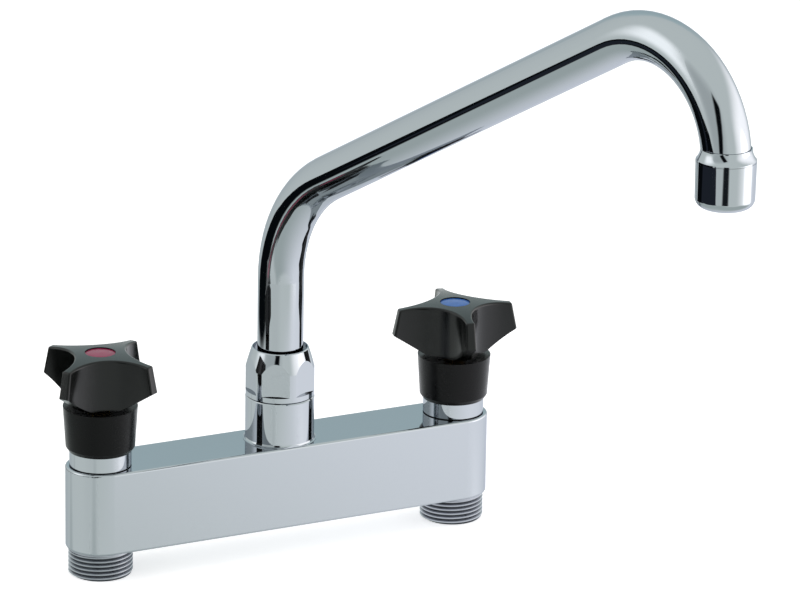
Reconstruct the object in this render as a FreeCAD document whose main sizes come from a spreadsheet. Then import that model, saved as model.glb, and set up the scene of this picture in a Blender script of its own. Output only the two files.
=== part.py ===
import FreeCAD, Part
import math
import os
import re
import Sketcher
from FreeCAD import Placement, Rotation, Vector

# Two handle bridge mixer for a kitchen sink, in millimetres.
# The origin lies midway between the two inlets on the body's underside.
# +X runs along the body to the cold inlet, -Y to the user, +Z up.

DIMENSIONS = [
    # body
    ("inlet_centres", 161.0),
    ("body_depth", 28.8),
    ("body_height", 35.0),
    ("body_edge_radius", 1.0),
    ("waterway_bore", 9.0),
    ("waterway_height", 20.0),
    ("outlet_well_bore", 13.0),
    # threaded inlets
    ("tail_thread_diameter", 26.44),
    ("tail_length", 11.5),
    ("tail_chamfer", 0.75),
    ("tail_bore", 14.0),
    ("tail_shank_diameter", 20.0),
    ("tail_shank_length", 9.0),
    # valve seat and chamber in the body
    ("seat_bore", 11.0),
    ("seat_lip_width", 1.1),
    ("seat_lip_height", 1.6),
    ("seat_height", 15.0),
    ("chamber_diameter", 18.6),
    # bonnet
    ("valve_thread_diameter", 20.955),
    ("bonnet_nose_length", 9.4),
    ("bonnet_washer_thickness", 0.4),
    ("bonnet_washer_inset", 0.7),
    ("collar_diameter", 25.4),
    ("collar_height", 8.0),
    ("collar_chamfer", 0.35),
    ("bonnet_hex_flats", 19.0),
    ("bonnet_hex_height", 5.6),
    ("bonnet_neck_diameter", 15.5),
    ("bonnet_neck_height", 9.0),
    # spindle
    ("spindle_diameter", 10.0),
    ("spindle_stem_diameter", 8.0),
    ("spindle_flange_diameter", 12.2),
    ("spindle_flange_thickness", 1.8),
    ("spindle_flange_drop", 4.9),
    ("spindle_o_ring_width", 1.64),
    ("spindle_o_ring_spacing", 5.0),
    ("spindle_o_ring_drop", 12.0),
    ("spline_diameter", 8.6),
    ("spline_tooth_depth", 0.4),
    ("spline_length", 10.4),
    ("spline_teeth", 20),
    ("clip_thickness", 0.8),
    ("clip_diameter", 12.8),
    ("clip_groove_depth", 0.8),
    ("clip_gap", 4.0),
    # plunger and its washer
    ("valve_lift", 5.0),
    ("plunger_hex_flats", 12.4),
    ("plunger_disc_diameter", 15.0),
    ("plunger_disc_thickness", 2.2),
    ("plunger_floor", 3.5),
    ("plunger_lip_width", 0.6),
    ("plunger_lip_height", 1.7),
    ("seat_washer_thickness", 3.0),
    ("seat_clearance", 0.1),
    ("washer_screw_diameter", 4.0),
    ("washer_screw_head_diameter", 6.8),
    ("washer_screw_head_height", 1.6),
    ("washer_screw_length", 4.8),
    # sleeve under the handle
    ("sleeve_top_diameter", 30.5),
    ("sleeve_bottom_diameter", 28.3),
    ("sleeve_height", 18.7),
    ("sleeve_overlap", 1.8),
    ("sleeve_chamfer_height", 1.7),
    ("sleeve_chamfer_width", 1.1),
    ("sleeve_wall", 2.0),
    ("sleeve_web", 2.5),
    # cross handle
    ("handle_gap", 1.2),
    ("handle_height", 21.6),
    ("handle_crown", 1.9),
    ("handle_tip_top_radius", 24.4),
    ("handle_tip_bottom_radius", 26.6),
    ("handle_tip_height", 10.9),
    ("handle_tip_width", 5.0),
    ("handle_lobes", 4),
    ("handle_waist_radius", 11.0),
    ("handle_edge_radius", 0.9),
    ("handle_hub_diameter", 26.4),
    ("handle_web", 2.0),
    ("hot_handle_angle", 32.5),
    ("cold_handle_angle", -11.4),
    ("handle_screw_diameter", 4.0),
    ("handle_screw_head_diameter", 7.4),
    ("handle_screw_head_height", 2.6),
    ("handle_screw_length", 9.0),
    ("screw_well_diameter", 10.6),
    ("button_diameter", 12.5),
    ("button_thickness", 3.2),
    ("button_recess", 0.3),
    ("button_crown", 0.35),
    ("button_plug_length", 2.4),
    ("button_plug_diameter", 10.4),
    # spigot that carries the spout
    ("spigot_diameter", 28.6),
    ("spigot_height", 18.8),
    ("spigot_foot_radius", 0.9),
    ("spigot_foot_inset", 0.05),
    ("spigot_edge_chamfer", 0.45),
    ("spigot_shank_length", 10.5),
    ("spigot_neck_diameter", 24.0),
    ("spigot_neck_height", 8.2),
    ("spigot_floor", 3.5),
    # spout nut
    ("nut_diameter", 28.4),
    ("nut_flats", 25.9),
    ("nut_height", 20.7),
    ("nut_flange_height", 2.5),
    ("nut_shoulder_height", 12.3),
    ("nut_dome_radius", 110.0),
    ("nut_rim_diameter", 23.6),
    ("nut_well_depth", 2.4),
    ("nut_well_gap", 1.7),
    ("nut_turn_angle", 27.0),
    # spout tube
    ("tube_diameter", 19.0),
    ("tube_wall", 1.1),
    ("spout_reach", 250.5),
    ("spout_riser", 62.6),
    ("spout_knee_radius", 57.0),
    ("spout_rise_angle", 29.7),
    ("spout_end_radius", 39.75),
    ("spout_drop", 2.6),
    ("spout_rest_angle", -74.5),
    # turned foot of the spout, its seals and split ring
    ("foot_end_gap", 0.5),
    ("foot_bore", 13.0),
    ("foot_ring_land", 1.9),
    ("foot_plug_length", 8.0),
    ("spout_o_ring_width", 1.9),
    ("spout_o_ring_offset", 5.2),
    ("spout_o_ring_spacing", 5.5),
    ("split_ring_thickness", 2.0),
    ("split_ring_bite", 0.85),
    ("split_ring_gap", 3.0),
    # outlet
    ("nozzle_rim_diameter", 22.8),
    ("nozzle_rim_height", 0.5),
    ("nozzle_flare_height", 4.4),
    ("nozzle_lip", 0.12),
    ("nozzle_thread_diameter", 20.0),
    ("nozzle_thread_length", 9.0),
    ("nozzle_bore", 16.0),
    ("nozzle_socket_depth", 4.0),
    ("aerator_diameter", 22.9),
    ("aerator_taper", 0.2),
    ("aerator_height", 18.0),
    ("aerator_edge_radius", 3.8),
    ("aerator_lip", 1.0),
    ("aerator_mouth", 14.2),
    ("aerator_pocket", 18.8),
    ("insert_plate", 2.5),
    ("insert_wall", 1.2),
    ("insert_hole", 2.2),
    ("insert_ring_pitch", 3.1),
    ("aerator_washer_thickness", 1.1),
    ("aerator_washer_width", 2.2),
    # clearances
    ("running_clearance", 0.05),
    ("spout_clearance", 0.08),
    ("seal_clearance", 0.03),
    ("seated_clearance", 0.05),
    ("axial_clearance", 0.1),
    ("guide_clearance", 0.1),
]

doc = FreeCAD.newDocument("Mixer")
sheet = doc.addObject("Spreadsheet::Sheet", "Dims")
for row, (alias, number) in enumerate(DIMENSIONS, start=1):
    sheet.set("A%d" % row, alias)
    sheet.set("B%d" % row, str(number))
    sheet.setAlias("B%d" % row, alias)
doc.recompute()

pieces = []


ALIASES = {alias for alias, number in DIMENSIONS}


def d(text):
    """An expression on the sheet: every bare alias in text gets the sheet's name."""
    return re.sub(r"[a-z_]+", lambda word: prefixed(word.group(0)), text)


def prefixed(word):
    return "Dims." + word if word in ALIASES else word


def value(text):
    """The number that an expression on the sheet stands for."""
    return float(sheet.evalExpression(d(text)))


# Heights and radii that several pieces share, written once as expressions.
BONNET_NOSE = "(body_height - bonnet_nose_length)"
COLLAR_BASE = "(body_height + bonnet_washer_thickness)"
COLLAR_TOP = "(%s + collar_height)" % COLLAR_BASE
BONNET_TOP = "(%s + bonnet_hex_height + bonnet_neck_height)" % COLLAR_TOP
FLANGE_BASE = "(%s - spindle_flange_drop)" % COLLAR_TOP
STEM_RING = "(%s - spindle_o_ring_drop)" % BONNET_TOP
SLEEVE_BASE = "(%s - sleeve_overlap)" % COLLAR_TOP
SLEEVE_TOP = "(%s + sleeve_height)" % SLEEVE_BASE
HANDLE_BASE = "(%s + handle_gap)" % SLEEVE_TOP
HANDLE_TOP = "(%s + handle_height)" % HANDLE_BASE
SPLINE_BASE = "(%s + 8 * axial_clearance + clip_thickness)" % BONNET_TOP
SPLINE_TOP = "(%s + spline_length)" % SPLINE_BASE
WEB_BASE = "(%s + 4 * axial_clearance)" % SPLINE_TOP
WEB_TOP = "(%s + handle_web)" % WEB_BASE
BUTTON_BASE = "(%s - button_recess - button_thickness)" % HANDLE_TOP
WASHER_BASE = "(seat_height + seat_clearance)"
WASHER_TOP = "(%s + seat_washer_thickness)" % WASHER_BASE
PLUNGER_FLOOR = "(%s + plunger_floor)" % WASHER_TOP
BARREL_TOP = "(%s - valve_lift - 2 * axial_clearance)" % FLANGE_BASE
STEM_BASE = "(%s + valve_lift + 2 * axial_clearance)" % PLUNGER_FLOOR
SPIGOT_FLOOR = "(body_height + spigot_floor)"
SPIGOT_TOP = "(body_height + spigot_height)"
NECK_TOP = "(%s + spigot_neck_height)" % SPIGOT_TOP
NUT_BASE = "(%s + axial_clearance)" % SPIGOT_TOP
NUT_TOP = "(%s + nut_height)" % NUT_BASE
RING_BASE = "(%s + axial_clearance)" % NECK_TOP
RING_TOP = "(%s + split_ring_thickness)" % RING_BASE
NUT_SHOULDER = "(%s + axial_clearance)" % RING_TOP
FOOT_BASE = "(%s + foot_end_gap)" % SPIGOT_FLOOR
FOOT_COLLAR = "(%s + foot_ring_land)" % RING_TOP
FOOT_RING = "(%s + spout_o_ring_offset)" % FOOT_BASE
SWIVEL_BORE = "(tube_diameter / 2 + spout_clearance)"
TUBE_BORE = "(tube_diameter / 2 - tube_wall)"
RISE = "spout_rise_angle * 1deg"
KNEE_HEIGHT = "(%s + spout_riser)" % NUT_TOP
ARM_LENGTH = "(spout_reach - spout_end_radius * (1 + sin(%s)))" % RISE
BEND_BASE = "(%s + %s * tan(%s) - spout_end_radius * cos(%s))" % (KNEE_HEIGHT, ARM_LENGTH, RISE, RISE)
TUBE_END = "(%s - spout_drop)" % BEND_BASE
SOCKET_BASE = "(%s - axial_clearance)" % TUBE_END
OUTLET_SEAM = "(%s + nozzle_socket_depth)" % SOCKET_BASE
NOZZLE_BASE = "(%s - nozzle_thread_length)" % OUTLET_SEAM
NOZZLE_TOP = "(%s + nozzle_rim_height + nozzle_flare_height)" % OUTLET_SEAM
AERATOR_TOP = "(%s - axial_clearance)" % OUTLET_SEAM
AERATOR_BASE = "(%s - aerator_height)" % AERATOR_TOP
POCKET_BASE = "(%s + aerator_lip)" % AERATOR_BASE


def new_body(name):
    body = doc.addObject("PartDesign::Body", name)
    body.Label = name
    pieces.append(body)
    return body


def place(body, x="0", angle=None):
    """Move a piece along the mixer and turn it about its own vertical axis."""
    body.setExpression("Placement.Base.x", d(x))
    if angle is not None:
        body.Placement = Placement(body.Placement.Base, Rotation(Vector(0, 0, 1), value(angle)))
        body.setExpression("Placement.Rotation.Angle", d("%s * 1deg" % angle))


def new_sketch(body, name, plane="XZ_Plane", height=None):
    """A sketch on one of the body's own origin planes, lifted by height."""
    sketch = body.newObject("Sketcher::SketchObject", name)
    origin_plane = [f for f in body.Origin.OriginFeatures if f.Role == plane][0]
    sketch.AttachmentSupport = [(origin_plane, "")]
    sketch.MapMode = "FlatFace"
    if height is not None:
        sketch.AttachmentOffset = Placement(Vector(0, 0, value(height)), Rotation())
        sketch.setExpression("AttachmentOffset.Base.z", d(height))
    return sketch


def pin_point(sketch, geometry, point, x, y, name):
    """Hold one point of a sketch at two sheet expressions."""
    for axis, kind, text in (("x", "DistanceX", x), ("y", "DistanceY", y)):
        label = "%s_%s" % (name, axis)
        number = sketch.addConstraint(Sketcher.Constraint(kind, geometry, point, value(text)))
        sketch.renameConstraint(number, label)
        sketch.setExpression("Constraints." + label, d(text))


def arc_between(start, end, radius, bulge):
    """Arc from start to end; a bulge of 1 keeps the centre on the left, -1 on the right."""
    chord = end - start
    left = Vector(-chord.y, chord.x, 0).normalize()
    rise = math.sqrt(radius * radius - chord.Length ** 2 / 4)
    centre = (start + end) * 0.5 + left * rise * bulge
    first, last = (start, end) if bulge > 0 else (end, start)
    low = math.atan2(first.y - centre.y, first.x - centre.x)
    high = math.atan2(last.y - centre.y, last.x - centre.x)
    if high < low:
        high += 2 * math.pi
    return Part.ArcOfCircle(Part.Circle(centre, Vector(0, 0, 1), radius), low, high)


def draw_outline(sketch, outline):
    """A closed outline whose corners are pairs of expressions.

    A corner with a radius and a bulge as well starts an arc; the others start a straight line.
    """
    corners = [Vector(value(corner[0]), value(corner[1]), 0) for corner in outline]
    count = len(corners)
    first = sketch.GeometryCount
    starts, ends = [], []
    for i, corner in enumerate(outline):
        following = corners[(i + 1) % count]
        if len(corner) == 2:
            sketch.addGeometry(Part.LineSegment(corners[i], following), False)
            bulge = 1
        else:
            bulge = corner[3]
            sketch.addGeometry(arc_between(corners[i], following, value(corner[2]), bulge), False)
        starts.append(1 if bulge > 0 else 2)
        ends.append(2 if bulge > 0 else 1)
    for i in range(count):
        j = (i + 1) % count
        sketch.addConstraint(Sketcher.Constraint("Coincident", first + i, ends[i], first + j, starts[j]))
    for i, corner in enumerate(outline):
        pin_point(sketch, first + i, starts[i], corner[0], corner[1], "corner_%d" % (first + i))
        if len(corner) > 2:
            set_radius(sketch, first + i, corner[2])


def set_radius(sketch, geometry, radius):
    """Hold the radius of an arc or a circle at a sheet expression."""
    number = sketch.addConstraint(Sketcher.Constraint("Radius", geometry, value(radius)))
    sketch.renameConstraint(number, "radius_%d" % geometry)
    sketch.setExpression("Constraints.radius_%d" % geometry, d(radius))


def draw_circle(sketch, radius, x="0", y="0"):
    """A circle whose radius and centre are expressions."""
    centre = Vector(value(x), value(y), 0)
    circle = sketch.addGeometry(Part.Circle(centre, Vector(0, 0, 1), value(radius)), False)
    pin_point(sketch, circle, 3, x, y, "centre_%d" % circle)
    set_radius(sketch, circle, radius)


def draw_polygon(sketch, sides, flats, turn=0.0):
    """A regular polygon on the sketch's origin, given across its flats."""
    corner = "(%s) / 2 / cos(180deg / %d)" % (flats, sides)
    outline = []
    for i in range(sides):
        angle = turn + 360.0 * i / sides
        outline.append(("%s * cos(%gdeg)" % (corner, angle), "%s * sin(%gdeg)" % (corner, angle)))
    draw_outline(sketch, outline)


def spline_outline(growth):
    """The toothed outline of the spline, each face moved out by growth."""
    teeth = int(value("spline_teeth"))
    tip = "(spline_diameter / 2 + %s)" % growth
    root = "(spline_diameter / 2 - spline_tooth_depth + %s)" % growth
    outline = []
    for i in range(teeth):
        for radius, share in ((root, 0.0), (tip, 0.34), (tip, 0.66)):
            angle = 360.0 * (i + share) / teeth
            outline.append(("%s * cos(%gdeg)" % (radius, angle), "%s * sin(%gdeg)" % (radius, angle)))
    return outline


def revolve(body, name, outline, kind="PartDesign::Revolution"):
    """Turn an outline of (radius, height) corners about the body's Z axis."""
    sketch = new_sketch(body, name + "_outline")
    draw_outline(sketch, outline)
    feature = body.newObject(kind, name)
    feature.Profile = sketch
    feature.ReferenceAxis = (sketch, ["V_Axis"])
    feature.Angle = 360
    return feature


def extrude(body, name, sketch, length, kind="PartDesign::Pad", upwards=True):
    """Pad or pocket a sketch by an expression, up or down along its normal."""
    feature = body.newObject(kind, name)
    feature.Profile = sketch
    feature.Length = value(length)
    feature.setExpression("Length", d(length))
    feature.Reversed = upwards if kind == "PartDesign::Pocket" else not upwards
    return feature


def cut(body, name, sketch, length, upwards=True):
    """A pocket that has to take material away."""
    doc.recompute()
    before = body.Shape.Volume
    feature = extrude(body, name, sketch, length, "PartDesign::Pocket", upwards)
    doc.recompute()
    if body.Shape.Volume >= before - 1e-6:
        raise RuntimeError("%s took nothing away" % name)
    return feature


def ring_edges(shape, radius, height):
    """Names of the circular edges about Z at a radius and height."""
    names = []
    for i, edge in enumerate(shape.Edges, start=1):
        curve = edge.Curve
        if not isinstance(curve, Part.Circle):
            continue
        on_axis = math.hypot(curve.Center.x, curve.Center.y) < 1e-6
        if on_axis and abs(curve.Radius - radius) < 1e-4 and abs(curve.Center.z - height) < 1e-4:
            names.append("Edge%d" % i)
    return names


def dress(body, name, edges, size, kind="PartDesign::Fillet"):
    """Round or chamfer named edges of the body's last feature."""
    base = body.Tip
    feature = body.newObject(kind, name)
    feature.Base = (base, edges)
    key = "Radius" if kind == "PartDesign::Fillet" else "Size"
    setattr(feature, key, value(size))
    feature.setExpression(key, d(size))
    return feature


def polar_copies(body, name, feature, count):
    """Copies of a feature about the body's Z axis, evenly round the circle."""
    pattern = body.newObject("PartDesign::PolarPattern", name)
    pattern.Originals = [feature]
    pattern.Axis = ([f for f in body.Origin.OriginFeatures if f.Role == "Z_Axis"][0], [""])
    pattern.Angle = 360
    pattern.Occurrences = count
    body.Tip = pattern
    return pattern


def turned_piece(name, outline, x="0", angle=None):
    """A piece made on the lathe: one revolved outline."""
    body = new_body(name)
    revolve(body, name + "_turning", outline)
    place(body, x, angle)
    return body


# ---------------------------------------------------------------- mixer body

def make_mixer_body():
    """Cast bar with half round ends, its valve chambers, waterway and outlet well."""
    body = new_body("mixer_body")
    half = "(inlet_centres / 2)"
    radius = "(body_depth / 2)"
    sketch = new_sketch(body, "mixer_body_plan", "XY_Plane")
    r, x = value(radius), value(half)
    sketch.addGeometry(Part.LineSegment(Vector(-x, -r, 0), Vector(x, -r, 0)), False)
    sketch.addGeometry(Part.ArcOfCircle(Part.Circle(Vector(x, 0, 0), Vector(0, 0, 1), r),
                                        -math.pi / 2, math.pi / 2), False)
    sketch.addGeometry(Part.LineSegment(Vector(x, r, 0), Vector(-x, r, 0)), False)
    sketch.addGeometry(Part.ArcOfCircle(Part.Circle(Vector(-x, 0, 0), Vector(0, 0, 1), r),
                                        math.pi / 2, 3 * math.pi / 2), False)
    for near, near_end, far, far_end in ((0, 2, 1, 1), (1, 2, 2, 1), (2, 2, 3, 1), (3, 2, 0, 1)):
        sketch.addConstraint(Sketcher.Constraint("Tangent", near, near_end, far, far_end))
    pin_point(sketch, 1, 3, half, "0", "cold_end")
    pin_point(sketch, 3, 3, "0 - %s" % half, "0", "hot_end")
    set_radius(sketch, 1, radius)
    extrude(body, "mixer_body_bar", sketch, "body_height")
    doc.recompute()
    rims = []
    for i, edge in enumerate(body.Shape.Edges, start=1):
        if edge.BoundBox.ZLength < 1e-6:
            rims.append("Edge%d" % i)
    dress(body, "mixer_body_edges", rims, "body_edge_radius")

    # one stepped chamber under each bonnet: tail socket, seat, chamber, bonnet thread
    floor = "(seat_height - seat_lip_height)"
    socket = "(tail_shank_diameter / 2 + seated_clearance)"
    socket_top = "(tail_shank_length + axial_clearance)"
    thread = "(valve_thread_diameter / 2 + seated_clearance)"
    step = "(%s - axial_clearance)" % BONNET_NOSE
    lip = "(seat_bore / 2 + seat_lip_width)"
    chamber = [("0", "-1"), (socket, "-1"), (socket, socket_top), ("seat_bore / 2", socket_top),
               ("seat_bore / 2", "seat_height"), (lip, "seat_height"), (lip, floor),
               ("chamber_diameter / 2", floor), ("chamber_diameter / 2", step), (thread, step),
               (thread, "body_height + 1"), ("0", "body_height + 1")]
    sketch = new_sketch(body, "valve_chamber_outline")
    draw_outline(sketch, [("%s + (%s)" % (half, out), up) for out, up in chamber])
    axis = sketch.addGeometry(Part.LineSegment(Vector(x, 0, 0), Vector(x, value("body_height"), 0)), True)
    pin_point(sketch, axis, 1, half, "0", "axis_foot")
    pin_point(sketch, axis, 2, half, "body_height", "axis_head")
    chambers = body.newObject("PartDesign::Groove", "valve_chamber")
    chambers.Profile = sketch
    chambers.ReferenceAxis = (sketch, ["Axis0"])
    chambers.Angle = 360
    doc.recompute()
    mirror = body.newObject("PartDesign::Mirrored", "valve_chamber_mirror")
    mirror.Originals = [chambers]
    mirror.MirrorPlane = ([f for f in body.Origin.OriginFeatures if f.Role == "YZ_Plane"][0], [""])
    body.Tip = mirror
    doc.recompute()

    # well under the spout: thread for the spigot's shank, then down to the waterway
    well_floor = "(body_height - spigot_shank_length - axial_clearance)"
    revolve(body, "outlet_well",
            [("0", "waterway_height"), ("outlet_well_bore / 2", "waterway_height"),
             ("outlet_well_bore / 2", well_floor), (thread, well_floor),
             (thread, "body_height + 1"), ("0", "body_height + 1")], "PartDesign::Groove")
    doc.recompute()

    # waterway that joins both chambers to the well
    sketch = new_sketch(body, "waterway_section", "YZ_Plane")
    draw_circle(sketch, "waterway_bore / 2", "0", "waterway_height")
    doc.recompute()
    before = body.Shape.Volume
    waterway = body.newObject("PartDesign::Pocket", "waterway")
    waterway.Profile = sketch
    waterway.Midplane = True
    waterway.Length = value("inlet_centres")
    waterway.setExpression("Length", d("inlet_centres"))
    doc.recompute()
    if body.Shape.Volume >= before:
        raise RuntimeError("the waterway took nothing away")


def make_inlet_nipple(side, x):
    """Threaded tail: its shank screws up into the body, its shoulder seats below."""
    outer = "tail_thread_diameter / 2"
    end = "0 - tail_length"
    turned_piece(side + "_inlet_nipple", [
        ("tail_bore / 2", end), ("%s - tail_chamfer" % outer, end), (outer, "%s + tail_chamfer" % end),
        (outer, "0"), ("tail_shank_diameter / 2", "0"), ("tail_shank_diameter / 2", "tail_shank_length"),
        ("tail_bore / 2", "tail_shank_length")], x)


# ---------------------------------------------------------------- valves

def make_bonnet(side, x):
    """Headwork: body thread, chromed collar, hexagon, neck, and the plunger's hexagon bore."""
    body = new_body(side + "_bonnet")
    collar = "collar_diameter / 2"
    hexagon_corner = "bonnet_hex_flats / 2 / cos(30deg)"
    bore = "(spindle_diameter / 2 + running_clearance)"
    shoulder = "(%s + spindle_flange_thickness + axial_clearance)" % FLANGE_BASE
    revolve(body, side + "_bonnet_turning", [
        (bore, BONNET_NOSE), ("valve_thread_diameter / 2", BONNET_NOSE),
        ("valve_thread_diameter / 2", COLLAR_BASE), (collar, COLLAR_BASE),
        (collar, "%s - collar_chamfer" % COLLAR_TOP), ("%s - collar_chamfer" % collar, COLLAR_TOP),
        (hexagon_corner, COLLAR_TOP), (hexagon_corner, "%s + bonnet_hex_height" % COLLAR_TOP),
        ("bonnet_neck_diameter / 2", "%s + bonnet_hex_height" % COLLAR_TOP),
        ("bonnet_neck_diameter / 2", BONNET_TOP), (bore, BONNET_TOP)])
    sketch = new_sketch(body, side + "_bonnet_flats", "XY_Plane", COLLAR_TOP)
    draw_circle(sketch, "bonnet_hex_flats")
    draw_polygon(sketch, 6, "bonnet_hex_flats")
    cut(body, side + "_bonnet_hexagon", sketch, "bonnet_hex_height")
    sketch = new_sketch(body, side + "_bonnet_guide_section", "XY_Plane", BONNET_NOSE)
    draw_polygon(sketch, 6, "plunger_hex_flats + 2 * guide_clearance")
    cut(body, side + "_bonnet_guide", sketch, "%s - %s" % (shoulder, BONNET_NOSE))
    place(body, x)


def make_bonnet_washer(side, x):
    """Flat ring between the body and the collar."""
    outer = "collar_diameter / 2 - bonnet_washer_inset"
    inner = "valve_thread_diameter / 2 + seated_clearance"
    turned_piece(side + "_bonnet_washer", [
        (inner, "body_height"), (outer, "body_height"), (outer, COLLAR_BASE), (inner, COLLAR_BASE)], x)


def o_ring_heights(first, spacing):
    return (first, "(%s + %s)" % (first, spacing))


def grooves(height, spacing, width, floor, outer):
    """Corners of two square ring grooves in an outline that runs upwards."""
    corners = []
    for middle in o_ring_heights(height, spacing):
        low = "%s - %s / 2 - axial_clearance" % (middle, width)
        high = "%s + %s / 2 + axial_clearance" % (middle, width)
        corners += [(outer, low), (floor, low), (floor, high), (outer, high)]
    return corners


def make_spindle(side, x, angle):
    """Stem that turns with the handle: lower thread, thrust flange, seal grooves, spline."""
    body = new_body(side + "_spindle")
    stem = "spindle_stem_diameter / 2"
    bearing = "spindle_diameter / 2"
    flange_top = "(%s + spindle_flange_thickness)" % FLANGE_BASE
    floor = "spindle_diameter / 2 - spindle_o_ring_width"
    clip_floor = "spindle_diameter / 2 - clip_groove_depth"
    clip_low = "(%s + axial_clearance)" % BONNET_TOP
    clip_high = "(%s + clip_thickness + axial_clearance)" % clip_low
    outline = [("0", STEM_BASE), (stem, STEM_BASE), (stem, FLANGE_BASE),
               ("spindle_flange_diameter / 2", FLANGE_BASE),
               ("spindle_flange_diameter / 2", flange_top), (bearing, flange_top)]
    outline += grooves(STEM_RING, "spindle_o_ring_spacing", "spindle_o_ring_width", floor, bearing)
    outline += [(bearing, clip_low), (clip_floor, clip_low), (clip_floor, clip_high),
                (bearing, clip_high), (bearing, SPLINE_BASE), ("0", SPLINE_BASE)]
    revolve(body, side + "_spindle_turning", outline)
    sketch = new_sketch(body, side + "_spindle_spline_section", "XY_Plane", SPLINE_BASE)
    draw_outline(sketch, spline_outline("0"))
    extrude(body, side + "_spindle_spline", sketch, "spline_length")
    sketch = new_sketch(body, side + "_spindle_tapping_section", "XY_Plane", SPLINE_TOP)
    draw_circle(sketch, "handle_screw_diameter / 2 + seated_clearance")
    cut(body, side + "_spindle_tapping", sketch, "handle_screw_length", upwards=False)
    place(body, x, angle)


def make_o_rings(name, height, spacing, width, outer, x, angle=None):
    """Two rubber rings that share one node."""
    rings = doc.addObject("Part::Compound", name)
    rings.Label = name
    links = []
    for number, middle in enumerate(o_ring_heights(height, spacing), start=1):
        ring = doc.addObject("Part::Torus", "%s_%d" % (name, number))
        ring.setExpression("Radius2", d("%s / 2" % width))
        ring.setExpression("Radius1", d("%s - %s / 2" % (outer, width)))
        ring.setExpression("Placement.Base.z", d(middle))
        links.append(ring)
    rings.Links = links
    pieces.append(rings)
    place(rings, x, angle)


def make_retaining_clip(side, x):
    """Open spring clip in the spindle's groove, above the bonnet."""
    body = new_body(side + "_retaining_clip")
    low = "(%s + 1.5 * axial_clearance)" % BONNET_TOP
    inner = "spindle_diameter / 2 - clip_groove_depth + seated_clearance"
    revolve(body, side + "_retaining_clip_turning", [
        (inner, low), ("clip_diameter / 2", low), ("clip_diameter / 2", "%s + clip_thickness" % low),
        (inner, "%s + clip_thickness" % low)])
    sketch = new_sketch(body, side + "_retaining_clip_gap_section", "XY_Plane", low)
    draw_outline(sketch, [("0", "0 - clip_gap / 2"), ("clip_diameter", "0 - clip_gap / 2"),
                          ("clip_diameter", "clip_gap / 2"), ("0", "clip_gap / 2")])
    cut(body, side + "_retaining_clip_gap", sketch, "clip_thickness")
    place(body, x)


def make_plunger(side, x):
    """Hexagonal barrel that the spindle's thread lifts, with a cupped disc for the washer."""
    body = new_body(side + "_plunger")
    disc = "plunger_disc_diameter / 2"
    cup = "plunger_disc_diameter / 2 - plunger_lip_width"
    low = "(%s - plunger_lip_height)" % WASHER_TOP
    disc_top = "(%s + plunger_disc_thickness)" % WASHER_TOP
    tapping = "washer_screw_diameter / 2 + seated_clearance"
    tapping_top = "(%s + washer_screw_length + axial_clearance)" % WASHER_BASE
    revolve(body, side + "_plunger_disc", [
        (tapping, WASHER_TOP), (cup, WASHER_TOP), (cup, low), (disc, low), (disc, disc_top),
        ("0", disc_top), ("0", tapping_top), (tapping, tapping_top)])
    sketch = new_sketch(body, side + "_plunger_barrel_section", "XY_Plane", disc_top)
    draw_polygon(sketch, 6, "plunger_hex_flats")
    extrude(body, side + "_plunger_barrel", sketch, "%s - %s" % (BARREL_TOP, disc_top))
    sketch = new_sketch(body, side + "_plunger_bore_section", "XY_Plane",
                        BARREL_TOP)
    draw_circle(sketch, "spindle_stem_diameter / 2 + running_clearance")
    cut(body, side + "_plunger_bore", sketch, "%s - %s" % (BARREL_TOP, PLUNGER_FLOOR), upwards=False)
    place(body, x)


def make_seat_washer(side, x):
    """Rubber washer that closes on the seat."""
    outer = "plunger_disc_diameter / 2 - plunger_lip_width - seated_clearance"
    inner = "washer_screw_diameter / 2 + seated_clearance"
    turned_piece(side + "_seat_washer", [
        (inner, WASHER_BASE), (outer, WASHER_BASE), (outer, WASHER_TOP), (inner, WASHER_TOP)], x)


def make_washer_screw(side, x):
    """Screw that holds the washer to the plunger."""
    head_low = "%s - washer_screw_head_height" % WASHER_BASE
    shank_top = "%s + washer_screw_length" % WASHER_BASE
    shank = "washer_screw_diameter / 2"
    turned_piece(side + "_washer_screw", [
        ("0", head_low), ("washer_screw_head_diameter / 2", head_low),
        ("washer_screw_head_diameter / 2", WASHER_BASE), (shank, WASHER_BASE),
        (shank, shank_top), ("0", shank_top)], x)


# ---------------------------------------------------------------- handles

def make_sleeve(side, x):
    """Conical shroud: it sits over the collar and round the bonnet's neck, and stays still."""
    bottom = "sleeve_bottom_diameter / 2"
    top = "sleeve_top_diameter / 2"
    seat = "(collar_diameter / 2 + seated_clearance)"
    neck = "(bonnet_neck_diameter / 2 + seated_clearance)"
    web_low = "(%s - sleeve_web)" % SLEEVE_TOP
    turned_piece(side + "_sleeve", [
        (seat, SLEEVE_BASE), ("%s - sleeve_chamfer_width" % bottom, SLEEVE_BASE),
        (bottom, "%s + sleeve_chamfer_height" % SLEEVE_BASE), (top, SLEEVE_TOP),
        (neck, SLEEVE_TOP), (neck, web_low), ("%s - sleeve_wall" % top, web_low),
        ("%s - sleeve_wall" % bottom, COLLAR_TOP), (seat, COLLAR_TOP)], x)


def scallop_circle():
    """Radius and centre distance of the circle that hollows the handle between two lobes.

    In plan the circle passes through the waist point on the diagonal and through the near
    corners of both lobe tips, and its centre lies on the diagonal.
    """
    tip = "handle_tip_bottom_radius"
    half = "(handle_tip_width / 2)"
    diagonal = "cos(180deg / handle_lobes)"
    across = "sin(180deg / handle_lobes)"
    along = "(%s * %s + %s * %s)" % (tip, diagonal, half, across)
    aside = "(%s * %s - %s * %s)" % (tip, across, half, diagonal)
    span = "(%s - handle_waist_radius)" % along
    radius = "((%s * %s + %s * %s) / (2 * %s))" % (span, span, aside, aside, span)
    return radius, "(handle_waist_radius + %s)" % radius


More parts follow.
